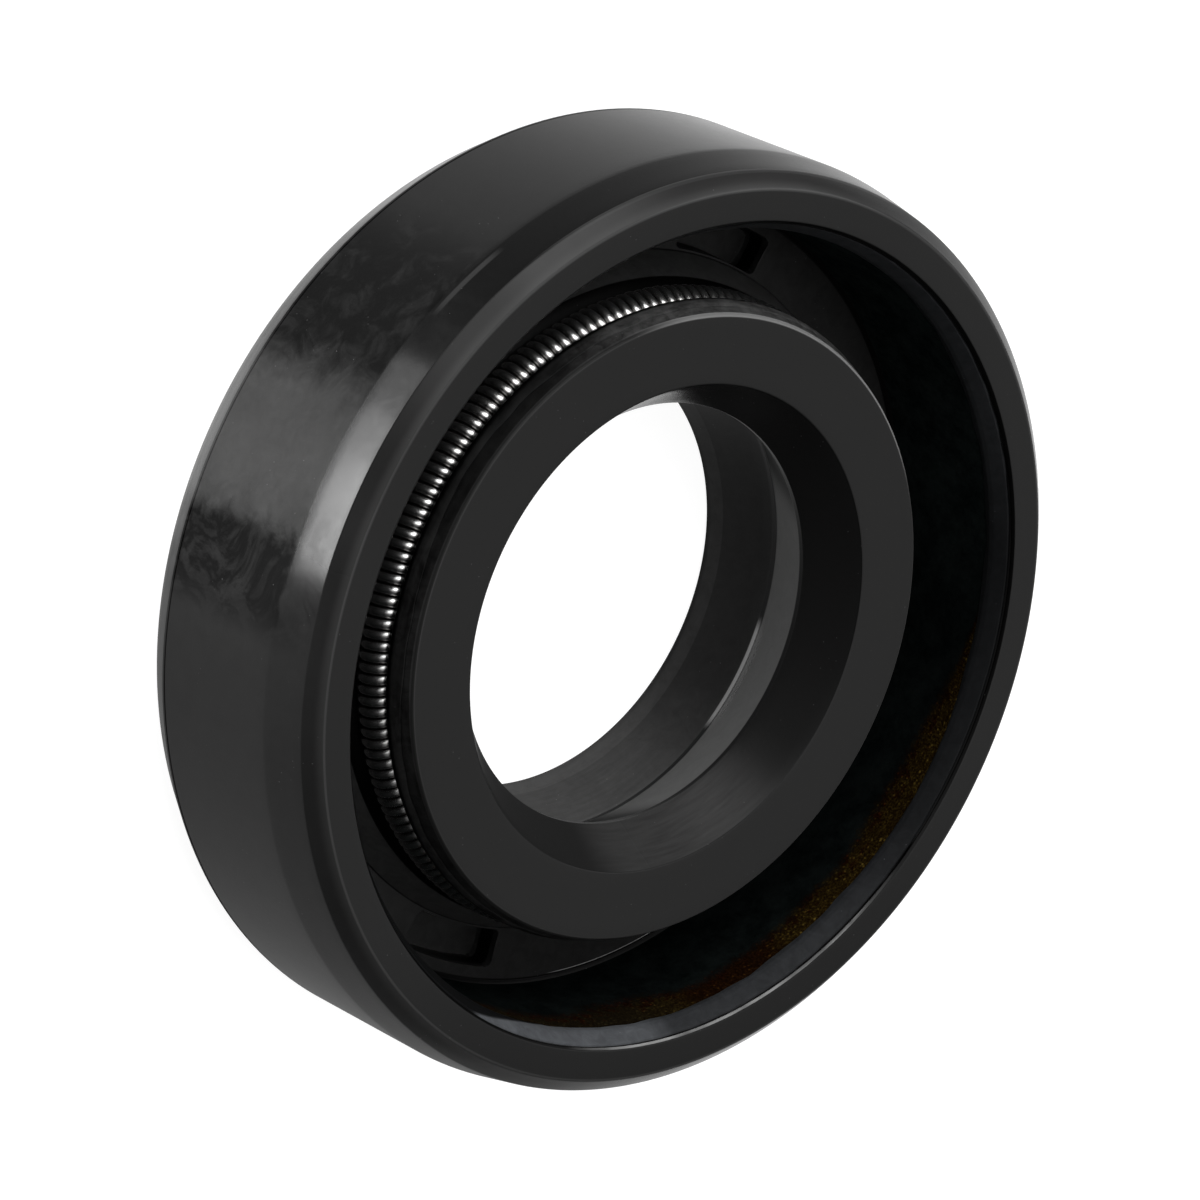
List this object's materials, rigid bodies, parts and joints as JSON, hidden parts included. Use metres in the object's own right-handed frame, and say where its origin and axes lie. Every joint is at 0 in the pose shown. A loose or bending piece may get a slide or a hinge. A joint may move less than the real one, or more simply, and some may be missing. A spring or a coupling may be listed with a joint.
{
  "type": "radial shaft seal",
  "caption": "Rubber-covered radial shaft seal with a spring-loaded sealing lip, a dust lip and a pressed steel insert.",
  "frame": {"origin": "centre of the closed back face, on the seal's axis", "axes": "+Z along the seal's axis, out of the open spring side; X and Y lie in the back face"},
  "size_m": [0.026, 0.026, 0.007],
  "materials": {
    "nitrile_rubber": "smooth moulded rubber, satin",
    "insert_steel": "dark phosphated steel with bonding agent",
    "spring_steel": "bright drawn wire"
  },
  "bodies": {
    "root": {"rubber_body": "nitrile_rubber", "steel_insert": "insert_steel", "garter_spring": "spring_steel"}
  },
  "joints": []
}
